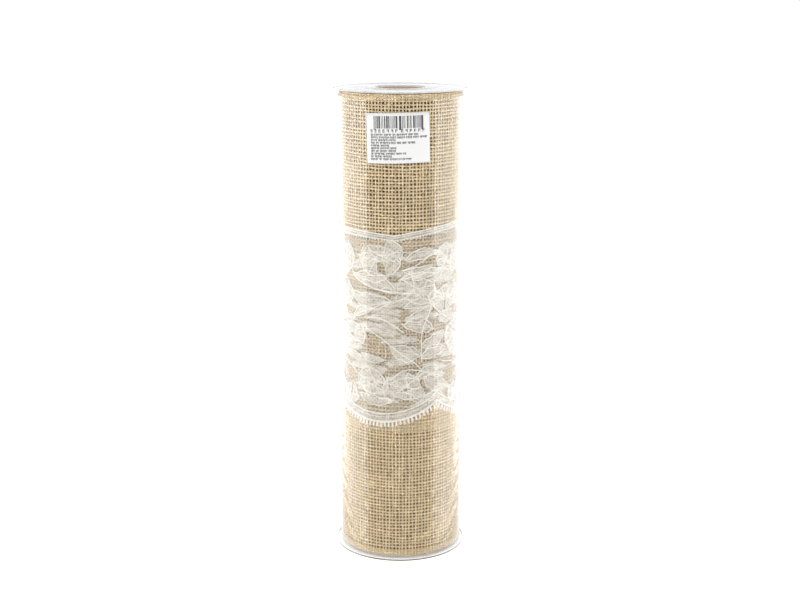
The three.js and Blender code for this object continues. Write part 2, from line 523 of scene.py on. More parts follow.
def ink_material():
    """Matt thermal print, a little uneven."""
    n = Nodes("label_ink")
    uneven = n.noise(n.attribute("flat"), 2.4, 2.0)
    base = n.mix(n.ramp(uneven, 0.35, 0.75), tuple(bpy.context.scene.runner_pack.ink), (0.12, 0.12, 0.125))
    return n.surface(n.add("BsdfPrincipled", Base_Color=base, Roughness=0.6))


def tape_material():
    """Waxy double-sided tape."""
    n = Nodes("core_tape")
    cloudy = n.noise(n.object_place(), 420.0, 2.0)
    base = n.mix(cloudy, (0.70, 0.62, 0.42), (0.86, 0.80, 0.62))
    shader = n.add("BsdfPrincipled", Base_Color=base, Roughness=0.5)
    n.put(shader.inputs["Normal"], n.bump(cloudy, 0.2, 0.0001))
    return n.surface(shader)


def floor_material():
    """A pale floor that glows a little, as a lit acrylic table does."""
    n = Nodes("floor_white")
    grain = n.noise(n.object_place(), 30.0, 1.0)
    base = n.mix(grain, (0.95, 0.95, 0.95), (0.97, 0.97, 0.97))
    shader = n.add("BsdfPrincipled", Base_Color=base, Roughness=0.9)
    shader.inputs["Emission Color"].default_value = (1, 1, 1, 1)
    shader.inputs["Emission Strength"].default_value = 0.3
    return n.surface(shader)


# ---------------------------------------------------------------- the tube and its ends


class RUNNER_OT_core(Operator):
    """Makes the cardboard tube, and gives the tape on it its finish"""

    bl_idname = "runner.core"
    bl_label = "Cardboard tube"

    def execute(self, context):
        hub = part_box("bottom_flange")[1].z - FOOT_LOW.z
        bore = context.scene.runner_pack.bore / 2 + 1.3 * MM
        edge = 0.25 * MM
        low, high = CORE_LOW.z, CORE_HIGH.z
        outer = CORE_HIGH.x
        profile = [
            *arc((bore + edge, low + edge), edge, 180, 270, 2),
            *arc((outer - edge, low + edge), edge, 270, 360, 2),
            (outer, low + hub),
            (outer, high - hub),
            *arc((outer - edge, high - edge), edge, 0, 90, 2),
            *arc((bore + edge, high - edge), edge, 90, 180, 2),
        ]
        mesh = mesh_from(spun(profile, 96), "core_tube_wound")
        tube = finish_piece(mesh, "core_tube_wound", "roll", [board_material()])
        tube.modifiers.new("Crisp ends", "EDGE_SPLIT").split_angle = math.radians(50)
        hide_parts("core_tube")
        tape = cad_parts["core_tape"]
        tape.data.materials.clear()
        tape.data.materials.append(tape_material())
        return {"FINISHED"}


class RUNNER_OT_flanges(Operator):
    """Makes the two clear flanges, with a hub, a rounded rim and moulded rings"""

    bl_idname = "runner.flanges"
    bl_label = "Clear flanges"

    def execute(self, context):
        tint = tuple(context.scene.runner_pack.plastic)
        face = clear_material("clear_plastic", tint, 1.55, 0.07, 70.0, 0.0006, 0.1)
        # The rim's material is painted shade: a dark brown tint for the dark line of the refracting edge.
        rim = clear_material("clear_rim_painted_shade", tuple(context.scene.runner_pack.rim), 1.55, 0.12, 300.0, 0.0003)
        for name, low, high, turned_over in (
            ("bottom_flange", FOOT_LOW, FOOT_HIGH, False),
            ("top_flange", TOP_LOW, TOP_HIGH, True),
        ):
            mesh = self.flange_mesh(context, name, high.x, high.z - low.z)
            if turned_over:
                mesh.transform(Matrix.Rotation(math.pi, 4, "X"))
            mesh.transform(Matrix.Translation((0, 0, high.z if turned_over else low.z)))
            piece = finish_piece(mesh, name + "_clear", name, [face, rim])
            self.mark_rim_painted_shade(mesh, high.x, low.z + 0.8 * MM if not turned_over else high.z - 0.7 * MM)
            piece.modifiers.new("Crisp edges", "EDGE_SPLIT").split_angle = math.radians(35)
            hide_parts(name)
        return {"FINISHED"}

    def flange_mesh(self, context, name, radius, depth):
        sizes = context.scene.runner_pack
        bore, hub = sizes.bore / 2, sizes.bore / 2 + 1 * MM
        thickness = CORE_LOW.z - 0.3 * MM
        edge, lead = sizes.flange_edge, sizes.hub_lead
        profile = [
            (bore, 0.2 * MM),
            (bore + 0.2 * MM, 0),
            *self.moulded_ring(24 * MM, 0.0, 1),
            *arc((radius - edge, edge), edge, 270, 360, 5),
            *arc((radius - edge, thickness - edge), edge, 0, 90, 5),
            (hub + 0.3 * MM, thickness),
            (hub, thickness + 0.3 * MM),
            (hub, depth - lead),
            (hub - lead, depth),
            (bore, depth),
        ]
        return mesh_from(spun(profile, 128), name + "_clear")

    def moulded_ring(self, radius, level, side):
        """A shallow groove left by the mould."""
        depth, half = 0.12 * MM, 0.5 * MM
        return [
            (radius - half, level),
            (radius - half / 2, level + side * depth),
            (radius + half / 2, level + side * depth),
            (radius + half, level),
        ]

    def mark_rim_painted_shade(self, mesh, radius, level):
        """Gives the rim's lower edge the dark tint of painted shade: the plastic is seen through its whole
        width there.
        """
        for polygon in mesh.polygons:
            x, y, z = polygon.center
            if math.hypot(x, y) > radius - 0.3 * MM and z < level:
                polygon.material_index = 1


# ---------------------------------------------------------------- the jute


class RUNNER_OT_inner_cloth(Operator):
    """Winds the jute from the tube to where its last, woven wrap begins"""

    bl_idname = "runner.inner_cloth"
    bl_label = "Inner wraps of jute"

    def execute(self, context):
        thickness = context.scene.runner_jute.inner_thickness
        bm = wound_strip(thickness, CLOTH_LOW.z, CLOTH_HIGH.z, 0.0, 72, 6)
        mesh = mesh_from(bm, "runner_jute_wraps")
        points = coordinates(mesh)
        at_edge = (points[:, 2] < CLOTH_LOW.z + 2 * MM) | (points[:, 2] > CLOTH_HIGH.z - 2 * MM)
        around = np.arctan2(points[:, 1], points[:, 0])
        inwards = np.where(points[:, 2] > (CLOTH_LOW.z + CLOTH_HIGH.z) / 2, -1, 1)
        fray = 0.45 * MM * (0.5 + 0.5 * wander(around * 41, np.hypot(points[:, 0], points[:, 1]) * 900))
        points[:, 2] += np.where(at_edge, inwards * fray, 0)
        set_coordinates(mesh, points)
        cloth = finish_piece(mesh, "runner_jute_wraps", "roll", [jute_inner_material()])
        cloth.modifiers.new("Crisp edges", "EDGE_SPLIT").split_angle = math.radians(50)
        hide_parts("runner_jute")
        return {"FINISHED"}


def wound_strip(thickness, low, high, offset, steps_per_turn, rows):
    """A closed strip wound from the tube up to the start of the last wrap."""
    winding = bpy.context.scene.runner_winding
    first = winding.tail - (tail_radius() - start_radius()) / winding_pitch() * TURN
    last = winding.tail - winding.open_turn
    steps = int((last - first) / TURN * steps_per_turn)
    bm = bmesh.new()
    bmesh.ops.create_grid(bm, x_segments=steps, y_segments=rows, size=0.5)
    for vert in bm.verts:
        turned = first + (last - first) * (vert.co.x + 0.5)
        out = cloth_radius(turned) + offset
        z = low + (high - low) * (vert.co.y + 0.5)
        vert.co = Vector((out * math.sin(turned), -out * math.cos(turned), z))
    bmesh.ops.recalc_face_normals(bm, faces=bm.faces)
    bmesh.ops.solidify(bm, geom=bm.faces[:], thickness=thickness)
    bmesh.ops.recalc_face_normals(bm, faces=bm.faces)
    return bm


def row_heights():
    """The height of each lengthwise yarn, closer together along the two edges."""
    jute = bpy.context.scene.runner_jute
    low, high = CLOTH_LOW.z + jute.selvedge_pitch / 2, CLOTH_HIGH.z - jute.selvedge_pitch / 2
    dense = round(jute.selvedge / jute.selvedge_pitch)
    inner_low = low + (dense - 1) * jute.selvedge_pitch
    inner_high = high - (dense - 1) * jute.selvedge_pitch
    gaps = round((inner_high - inner_low) / jute.pitch)
    middle = [inner_low + (inner_high - inner_low) * i / gaps for i in range(1, gaps)]
    borders = [i * jute.selvedge_pitch for i in range(dense)]
    return np.array([*(low + b for b in borders), *middle, *(high - b for b in reversed(borders))])


def yarn_columns():
    """Where each crosswise yarn lies along the cloth, and the two ends of the last wrap."""
    scene = bpy.context.scene
    winding, jute = scene.runner_winding, scene.runner_jute
    last = winding.tail * front_radius()
    first = (winding.tail - winding.open_turn) * front_radius()
    count = round((last - first) / jute.pitch)
    return first + (np.arange(count) + 0.5) * (last - first) / count, first, last


def straight_yarns(name, turn, rings, count, sides):
    """Equal straight yarns of unit section, with rings along them, numbered by a layer."""
    bm = bmesh.new()
    bmesh.ops.create_cone(
        bm, cap_ends=True, segments=sides, radius1=1, radius2=1, depth=1, matrix=turn
    )
    long_edges = [e for e in bm.edges if abs((e.verts[0].co - e.verts[1].co).length - 1) < 1e-4
                  and len(e.link_faces) == 2 and all(len(f.verts) == 4 for f in e.link_faces)]
    bmesh.ops.subdivide_edges(bm, edges=long_edges, cuts=rings - 2)
    layer = bm.verts.layers.float.new("yarn")
    first = bm.verts[:] + bm.edges[:] + bm.faces[:]
    for index in range(1, count):
        made = bmesh.ops.duplicate(bm, geom=first)
        for item in made["geom"]:
            if isinstance(item, bmesh.types.BMVert):
                item[layer] = index
    return mesh_from(bm, name)


def yarn_numbers(mesh):
    numbers = np.empty(len(mesh.vertices))
    mesh.attributes["yarn"].data.foreach_get("value", numbers)
    return numbers.round().astype(int)


def store_fibre(mesh, along, across, yarn):
    """Keeps the place along and across each yarn, for its fibres."""
    layer = mesh.attributes.new("fibre", "FLOAT_VECTOR", "POINT")
    values = np.stack([along / MM, across, yarn], axis=1)
    layer.data.foreach_set("vector", np.ascontiguousarray(values, np.float32).ravel())


def slub(along, yarn):
    """How thick the yarn is here: it wavers, and swells into a slub now and then."""
    waver = 0.15 * wander(along / (7 * MM), yarn * 1.7) + 0.12 * wander(along / (2.3 * MM), yarn * 3.1)
    swelling = np.clip(wander(along / (13 * MM), yarn * 5.3 + 0.7) - 0.62, 0, 1) * 1.5
    return 1 + waver + swelling + 0.10 * (scatter(yarn * 2.9) - 0.5)


class RUNNER_OT_woven_wrap(Operator):
    """Weaves the last wrap yarn by yarn: lengthwise yarns in two pieces, crosswise in two"""

    bl_idname = "runner.woven_wrap"
    bl_label = "Woven last wrap"

    def execute(self, context):
        self.jute = context.scene.runner_jute
        self.rows = row_heights()
        self.columns, self.first, self.last = yarn_columns()
        material = jute_yarn_material()
        half_rows, half_columns = len(self.rows) // 2, len(self.columns) // 2
        for name, start, stop in (
            ("runner_warp_lower", 0, half_rows),
            ("runner_warp_upper", half_rows, len(self.rows)),
        ):
            mesh = self.lengthwise(name, start, stop)
            finish_piece(mesh, name, "roll", [material])
        for name, start, stop in (
            ("runner_weft_start", 0, half_columns),
            ("runner_weft_tail", half_columns, len(self.columns)),
        ):
            mesh = self.crosswise(name, start, stop)
            finish_piece(mesh, name, "roll", [material])
        return {"FINISHED"}

    def lengthwise(self, name, start, stop):
        """Yarns that run round the roll. Rings lie at each crossing and between crossings."""
        rings = 2 * len(self.columns) + 1
        turn = Matrix.Rotation(math.radians(90), 4, "Y")
        mesh = straight_yarns(name, turn, rings, stop - start, self.jute.yarn_sides)
        points, yarn = coordinates(mesh), yarn_numbers(mesh) + start
        ring = np.round((points[:, 0] + 0.5) * (rings - 1)).astype(int)
        along = self.first + (self.last - self.first) * ring / (rings - 1)
        side = np.where(yarn % 2 == 0, 1.0, -1.0)
        over = side * np.sin(math.pi * ring / 2) * self.jute.waviness
        heights = self.rows[yarn]
        dense = self.density(heights)
        thick = slub(along, yarn)
        stray = self.jute.wander * (1 - dense) * self.strays(along, yarn, heights)
        across, out = -points[:, 2], -points[:, 1]
        half_width = self.jute.half_width * (1 - 0.28 * dense)
        moved = np.stack([
            along + self.frayed_end(ring, rings, yarn),
            -(over + out * self.jute.half_thickness * thick),
            heights + stray + across * half_width * thick,
        ], axis=1)
        store_fibre(mesh, along, across, yarn)
        self.store_crest(mesh, over + out * self.jute.half_thickness)
        set_coordinates(mesh, moved)
        wind(mesh)
        return mesh

    def crosswise(self, name, start, stop):
        """Yarns that stand up the roll, going under where the others go over."""
        heights = np.empty(2 * len(self.rows) + 1)
        heights[1::2] = self.rows
        heights[2:-1:2] = (self.rows[1:] + self.rows[:-1]) / 2
        heights[0], heights[-1] = CLOTH_LOW.z, CLOTH_HIGH.z
        mesh = straight_yarns(name, Matrix.Identity(4), len(heights), stop - start, self.jute.yarn_sides)
        points, yarn = coordinates(mesh), yarn_numbers(mesh) + start
        ring = np.round((points[:, 2] + 0.5) * (len(heights) - 1)).astype(int)
        side = np.where(yarn % 2 == 0, -1.0, 1.0)
        over = side * np.sin(math.pi * ring / 2) * self.jute.waviness
        along = heights[ring]
        thick = slub(along, yarn + 400)
        stray = 0.75 * self.jute.wander * wander(along / (8 * MM), yarn * 2.3 + 50)
        across, out = points[:, 0], -points[:, 1]
        moved = np.stack([
            self.columns[yarn] + stray + across * 0.93 * self.jute.half_width * thick,
            -(over + out * self.jute.half_thickness * thick),
            along,
        ], axis=1)
        store_fibre(mesh, along, across, yarn + 400)
        self.store_crest(mesh, over + out * self.jute.half_thickness)
        set_coordinates(mesh, moved)
        wind(mesh)
        return mesh

    def store_crest(self, mesh, height):
        """Keeps how far each corner stands out, for the painted shade in the dips: 1 on the crests and 0
        where a yarn dips under.
        """
        reach = self.jute.waviness + self.jute.half_thickness
        mesh.attributes.new("crest", "FLOAT", "POINT").data.foreach_set("value", 0.5 + 0.5 * height / reach)

    def density(self, heights):
        """1 in the dense borders and 0 between them."""
        edge = np.minimum(heights - CLOTH_LOW.z, CLOTH_HIGH.z - heights)
        return np.clip((self.jute.selvedge + 0.4 * MM - edge) / (0.8 * MM), 0, 1)

    def strays(self, along, yarn, heights):
        """Neighbouring yarns stray together in places, which opens longer gaps between others."""
        own = wander(along / (6 * MM), yarn * 1.3)
        shared = wander(along / (19 * MM) + heights / (5.2 * MM), 3)
        return 0.55 * own + 0.75 * shared

    def frayed_end(self, ring, rings, yarn):
        """The cut end of the cloth, where each yarn is a little longer or shorter."""
        loose = (scatter(yarn * 1.9 + 3) - 0.35) * 2.4 * MM
        return np.where(ring == rings - 1, loose, 0.0)


class RUNNER_OT_fuzz(Operator):
    """Adds the loose fibres that stand out of the jute, most of them along its edges"""

    bl_idname = "runner.fuzz"
    bl_label = "Loose fibres"

    count: IntProperty(name="Count", description="Loose fibres on the last wrap", default=900, min=1)

    def execute(self, context):
        first, last = yarn_columns()[1:]
        height = CLOTH_HIGH.z - CLOTH_LOW.z
        paths = []
        for i in range(self.count):
            a, b, c, d = (float(scatter(i * 4.0 + k)) for k in (1.1, 2.3, 3.7, 5.9))
            x = first + (last - first) * a
            share = 1 - 0.018 * b if i % 3 == 0 else (0.018 * b if i % 3 == 1 else b)
            z = CLOTH_LOW.z + height * (0.003 + 0.994 * share)
            reach, lift = (1.0 + 2.2 * c) * MM, (0.10 + 0.22 * d) * MM
            lean = (c - 0.5) * 2.2
            step = Vector((math.cos(lean), 0, 0.35 * math.sin(lean))) * reach
            base = Vector((x, -0.52 * MM, z))
            middle = base + step * 0.5 + Vector((0, -lift, 0.25 * MM * (d - 0.5)))
            tip = base + step + Vector((0, -0.4 * lift, 0.3 * MM * (b - 0.5)))
            for point in (middle, tip):
                point.z = min(max(point.z, CLOTH_LOW.z), CLOTH_HIGH.z)
            paths.append(([(*base, 1.0), (*middle, 0.8), (*tip, 0.35)], False))
        mesh = cords_mesh("runner_loose_fibres", paths, 0.045 * MM)
        points = coordinates(mesh)
        store_fibre(mesh, points[:, 0], np.zeros(len(points)), np.round(points[:, 0] / (2 * MM)))
        wind(mesh)
        finish_piece(mesh, "runner_loose_fibres", "roll", [bpy.data.materials["jute_yarn"]])
        return {"FINISHED"}


# ---------------------------------------------------------------- the lace

# One repeat of the pattern, in millimetres: places are (along from the front, height).
FLOWERS = (  # middle, radius, petals, direction of the first petal in degrees
    ((-12, 188), 11.5, 5, 100),
    ((-40, 186), 10.5, 5, 40),
    ((10, 168.5), 10.6, 4, 155),
    ((-43, 163), 9.6, 5, 20),
    ((-32, 139.5), 10.8, 5, 75),
    ((3, 108.5), 10.2, 5, 110),
    ((-17, 112.5), 9.6, 5, 60),
    ((-33, 103), 6.4, 4, 30),
)
LEAVES = (  # foot, tip, width
    ((-2, 168), (-31, 176.5), 9.5),
    ((-5, 162.5), (-33, 166), 9.0),
    ((20, 160.5), (2, 158.5), 5.6),
    ((19, 158), (3, 151.4), 6.4),
    ((20, 145), (2, 148), 9.0),
    ((12.5, 130), (-6, 134.5), 9.6),
    ((12.6, 134.5), (28, 142.5), 7.4),
    ((12.6, 127.5), (29.5, 132), 7.2),
    ((14, 115.5), (31, 109), 8.6),
    ((9, 114.5), (25, 121), 5.8),
    ((20, 163), (33, 171), 6.8),
    ((-47, 175), (-34, 179), 6.6),
    ((-24, 129), (-9, 126.5), 4.4),
    ((3, 187), (24, 191), 6.0),
    ((2, 180.5), (20, 183.5), 4.8),
    ((8, 175), (27, 180), 4.6),
    ((-26, 104), (-4, 101.5), 5.6),
    ((15, 103), (30, 100), 6.2),
    ((-48, 150), (-37, 154), 7.0),
    ((-30, 151.5), (-16, 157.5), 5.4),
    ((-22, 176), (-6, 178), 4.0),
)
STEMS = (
    ((-22, 146.5), (-17.3, 143.4), (-9, 138.6), (-3.6, 133.9), (3, 128.6), (8.6, 124.9), (12.6, 120.4)),
    ((-20, 151.5), (-14, 152.4), (-8, 150.6), (-2, 146.5), (2.4, 143.5)),
    ((-9, 113.5), (-4.8, 115), (0, 119.4), (6, 121.2), (16.7, 118.3), (28, 114)),
    ((19, 160), (24, 154.5), (31, 150)),
    ((19, 160), (17, 153), (13.8, 147), (12.6, 141), (12.6, 133), (12.6, 125)),
    ((-33, 181), (-28, 175), (-22, 171.4), (-12, 169), (-2, 168), (6, 166.5)),
    ((-31, 149), (-26, 154), (-18, 156.5), (-10, 161), (-5, 162.5)),
    ((-46, 124), (-38, 122.6), (-31, 119), (-26, 115)),
    ((1, 181), (9, 183.5), (15, 187.5), (22, 192)),
    ((-1, 175), (4, 178.5), (13, 180), (24, 178)),
)
# How far each layer of the lace stands out from the middle of the cloth, in millimetres.
NET_OUT, FILL_OUT, CORD_OUT = 0.68, 0.72, 0.85


LOWER_CUSP_HEIGHT, UPPER_CUSP_HEIGHT = 97.0, 201.6  # where two scallops meet, in millimetres


def lower_edge(s):
    """The height of the tips of the lashes."""
    lace = bpy.context.scene.runner_lace
    across = ((s * MM - lace.lower_cusp) / lace.repeat) % 1
    return LOWER_CUSP_HEIGHT - lace.scallop / MM * math.sin(math.pi * across) ** 0.75


def upper_edge(s):
    """The height of the heading, which climbs faster towards the tail of the cloth."""
    lace = bpy.context.scene.runner_lace
    across = ((s * MM - lace.upper_cusp) / lace.repeat) % 1
    rise = min(3.0, 0.055 * s) if s > 0 else min(1.2, -0.02 * s)
    scallop = lace.heading_rise / MM * math.sin(math.pi * across) ** 0.7
    return UPPER_CUSP_HEIGHT + scallop + lace.slant * s + rise


def flat_place(s, z, out):
    return s * MM, -out * MM, z * MM


def wrap_span():
    """The two ends of the last wrap, along the cloth, in millimetres."""
    first, last = yarn_columns()[1:]
    return first / MM, last / MM


def repeats():
    """The shifts that carry one repeat of the pattern over the last wrap."""
    first, last = wrap_span()
    step = bpy.context.scene.runner_lace.repeat / MM
    low, high = math.floor((first - 30) / step), math.ceil((last + 46) / step)
    return [step * i for i in range(low, high + 1)]


class Blade:
    """The outline of a petal or a leaf, from its foot to its tip."""

    def __init__(self, foot, tip, width, blunt, bend=0.0, lobes=0.0, seed=0.0):
        self.foot, self.tip = Vector(foot), Vector(tip)
        self.width, self.blunt, self.bend = width, blunt, bend
        self.lobes, self.seed = lobes, seed
        self.length = (self.tip - self.foot).length
        self.normal = Vector((self.foot.y - self.tip.y, self.tip.x - self.foot.x)) / self.length

    def half(self, u, side):
        swell = math.sin(math.pi * min(max(u, 0.012), 0.988) ** self.blunt) ** 0.8
        lobe = 1 + self.lobes * math.sin(17 * u + 2.4 * side + 9 * self.seed)
        lobe += 0.7 * self.lobes * math.sin(29 * u - 1.7 * side + 5 * self.seed)
        return 0.5 * self.width * swell * lobe

    def place(self, u, v):
        """u runs from foot to tip, v from -1 to 1 across."""
        spine = self.foot.lerp(self.tip, u) + self.normal * self.bend * self.length * math.sin(math.pi * u)
        return spine + self.normal * v * self.half(u, 1 if v > 0 else -1)

    def outline(self, count=17):
        ups = [self.place(i / (count - 1), 1) for i in range(count)]
        downs = [self.place(i / (count - 1), -1) for i in range(count - 2, 0, -1)]
        return ups + downs


LOOSE_PATCHES = 58  # scattered in each repeat of the pattern


def lace_blades():
    """The lace's thicker places, as (blade, kind). A kind is 0 patch, 1 petal or 2 leaf."""
    first, last = wrap_span()
    lace_repeat = bpy.context.scene.runner_lace.repeat / MM
    found = []
    for shift in repeats():
        for index, ((s, z), radius, petals, turned) in enumerate(FLOWERS):
            for i in range(petals):
                seed = index * 7.0 + i
                a = math.radians(turned + 360 * i / petals + 34 * (float(scatter(seed)) - 0.5))
                reach = radius * (0.78 + 0.5 * float(scatter(seed + 0.4)))
                foot = (s + shift + 0.2 * radius * math.cos(a), z + 0.14 * radius * math.sin(a))
                tip = (s + shift + 1.12 * reach * math.cos(a), z + 0.74 * reach * math.sin(a))
                width = radius / petals * (4.6 + 2.4 * float(scatter(seed + 0.8)))
                found.append((Blade(foot, tip, width, 1.4, 0.06, 0.13, seed), 1))
        for index, (foot, tip, width) in enumerate(LEAVES):
            feet, tips = (foot[0] + shift, foot[1]), (tip[0] + shift, tip[1])
            bend = 0.09 * (1 if index % 2 else -1)
            found.append((Blade(feet, tips, width, 0.9, bend, 0.09, index + 0.5), 2))
        for index in range(LOOSE_PATCHES):
            s = shift - 46 + lace_repeat * float(scatter(index * 1.9 + 0.3))
            z = 98 + 94 * ((index * 0.618) % 1)
            reach = 7 + 6 * float(scatter(index * 2.7))
            lean = math.radians(28 * (float(scatter(index * 3.3)) - 0.5))
            step = (reach * math.cos(lean), reach * math.sin(lean))
            width = 3.0 + 3.8 * float(scatter(index * 4.1))
            foot, tip = (s - step[0], z - step[1]), (s + step[0], z + step[1])
            found.append((Blade(foot, tip, width, 1, 0.06, 0.16, index), 0))
    return [b for b in found if first + 0.4 < min(b[0].foot.x, b[0].tip.x)
            and max(b[0].foot.x, b[0].tip.x) < last - 0.4]


def within_wrap(paths, keep=lambda s, z: True):
    """Cuts flat paths of (s, z, thickness) down to the stretches inside the wrap."""
    first, last = wrap_span()
    for path in paths:
        stretch = []
        for s, z, thickness in [*path, (last + 9, 0, 0)]:
            if first < s < last and keep(s, z):
                stretch.append((s, z, thickness))
            else:
                if len(stretch) > 1:
                    yield stretch
                stretch = []


def cord_piece(name, paths, radius, out, sides_level=0, closed=()):
    """A piece made of cords that lie at one depth on the last wrap."""
    lines = [([(*flat_place(s, z, out), t) for s, z, t in path], False) for path in paths]
    loops = [([(*flat_place(s, z, out), t) for s, z, t in path], True) for path in closed]
    mesh = cords_mesh(name, lines + loops, radius, sides_level)
    store_flat(mesh)
    wind(mesh)
    return finish_piece(mesh, name, "roll", [bpy.data.materials["lace_thread"]])


def sheet_piece(name, bm):
    """A piece made of thin flat panels, thickened, on the last wrap."""
    bmesh.ops.recalc_face_normals(bm, faces=bm.faces)
    for face in bm.faces:
        if face.normal.y > 0:
            face.normal_flip()
    bmesh.ops.solidify(bm, geom=bm.faces[:], thickness=bpy.context.scene.runner_lace.fill)
    bmesh.ops.recalc_face_normals(bm, faces=bm.faces)
    mesh = mesh_from(bm, name)
    store_flat(mesh)
    wind(mesh)
    return finish_piece(mesh, name, "roll", [bpy.data.materials["lace_fill"]])


def panel(bm, columns, rows, place):
    """A grid whose corners go to place(u, v), with u and v from 0 to 1."""
    made = bmesh.ops.create_grid(bm, x_segments=columns, y_segments=rows, size=0.5)
    for vert in made["verts"]:
        vert.co = Vector(place(vert.co.x + 0.5, vert.co.y + 0.5))


class RUNNER_OT_lace_net(Operator):
    """Winds the lace between the wraps, and makes the fine net on the last one"""

    bl_idname = "runner.lace_net"
    bl_label = "Lace net"

    def execute(self, context):
        lace_thread_material()
        fill = lace_fill_material()
        bm = wound_strip(0.12 * MM, LACE_LOW.z, LACE_HIGH.z, 0.43 * MM, 72, 2)
        mesh = mesh_from(bm, "runner_lace_wraps")
        store_flat(mesh)
        band = finish_piece(mesh, "runner_lace_wraps", "roll", [fill])
        band.modifiers.new("Crisp edges", "EDGE_SPLIT").split_angle = math.radians(50)
        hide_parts("runner_lace")
        lace = context.scene.runner_lace
        cord_piece("runner_lace_net", self.rows(lace), lace.net_thread, NET_OUT)
        return {"FINISHED"}

    def rows(self, lace):
        """Zigzag threads, one above another, that meet at their corners."""
        pitch, step = lace.net_pitch / MM, 1.25
        first, last = wrap_span()
        inner = (lace.fringe + lace.border) / MM
        count = int((last - first) / step)
        for row in range(int(125 / pitch)):
            middle = 80 + row * pitch
            path = []
            for i in range(count):
                s = first + 0.3 + i * step
                shake = 0.12 * float(wander(s / 7, row * 0.37))
                thick = 1.0 + 0.55 * float(wander(s / 3.4, row * 1.7))
                corner = (0.5 if (i + row) % 2 else -0.5) * pitch
                path.append((s, middle + lace.slant * s + shake + corner, thick))
            yield from within_wrap(
                [path], lambda s, z: lower_edge(s) + inner - 1 < z < upper_edge(s) - lace.heading / MM + 0.5
            )


class RUNNER_OT_lace_motifs(Operator):
    """Makes the flowers, leaves and stems, with their fills, outlines and veins"""

    bl_idname = "runner.lace_motifs"
    bl_label = "Lace flowers and leaves"

    def execute(self, context):
        lace = context.scene.runner_lace
        blades = lace_blades()
        bm = bmesh.new()
        for index, (blade, _) in enumerate(blades):
            out = FILL_OUT + 0.018 * (index % 5)
            panel(bm, 16, 3, lambda u, v, b=blade, o=out: flat_place(*b.place(u, 2 * v - 1), o))
        sheet_piece("runner_lace_fills", bm)
        outlines, veins = [], []
        for index, (blade, kind) in enumerate(blades):
            if kind:
                round_it = blade.outline()
                outlines.append([(p.x, p.y, 1.0 + 0.3 * float(wander(p.x / 2.5, index))) for p in round_it])
            veins.extend(self.veins(blade, kind))
        cord_piece("runner_lace_outlines", [], lace.outline, CORD_OUT, 1, outlines)
        cord_piece("runner_lace_veins", within_wrap(veins), lace.outline * 0.36, CORD_OUT - 0.03)
        stems = []
        for shift in repeats():
            for stem in STEMS:
                points = self.smoothed([(s + shift, z) for s, z in stem])
                stems.append([(s, z, 1.0) for s, z in points])
        hearts = []
        for shift in repeats():
            for (s, z), radius, _, _ in FLOWERS:
                ring = [math.radians(30 * i) for i in range(12)]
                size = 0.17 * radius
                hearts.append([(s + shift + size * math.cos(a), z + size * math.sin(a), 0.9) for a in ring])
        first, last = wrap_span()
        hearts = [h for h in hearts if all(first < s < last for s, _, _ in h)]
        cord_piece("runner_lace_stems", within_wrap(stems), lace.outline * 1.05, CORD_OUT + 0.02, 1, hearts)
        return {"FINISHED"}

    def veins(self, blade, kind):
        """Fine threads that spread from the foot: three in a leaf or patch, four in a petal."""
        spreads = (-0.55, -0.2, 0.2, 0.55) if kind == 1 else (-0.4, 0.0, 0.4)
        for v in spreads:
            points = [blade.place(0.08 + 0.82 * i / 6, v * min(1, i / 2)) for i in range(7)]
            yield [(p.x, p.y, 1.0) for p in points]

    def smoothed(self, corners):
        """Rounds a path by cutting its corners twice."""
        for _ in range(2):
            finer = [corners[0]]
            for (a, b), (c, d) in zip(corners, corners[1:]):
                finer.append((a * 0.75 + c * 0.25, b * 0.75 + d * 0.25))
                finer.append((a * 0.25 + c * 0.75, b * 0.25 + d * 0.75))
            corners = [*finer, corners[-1]]
        return corners


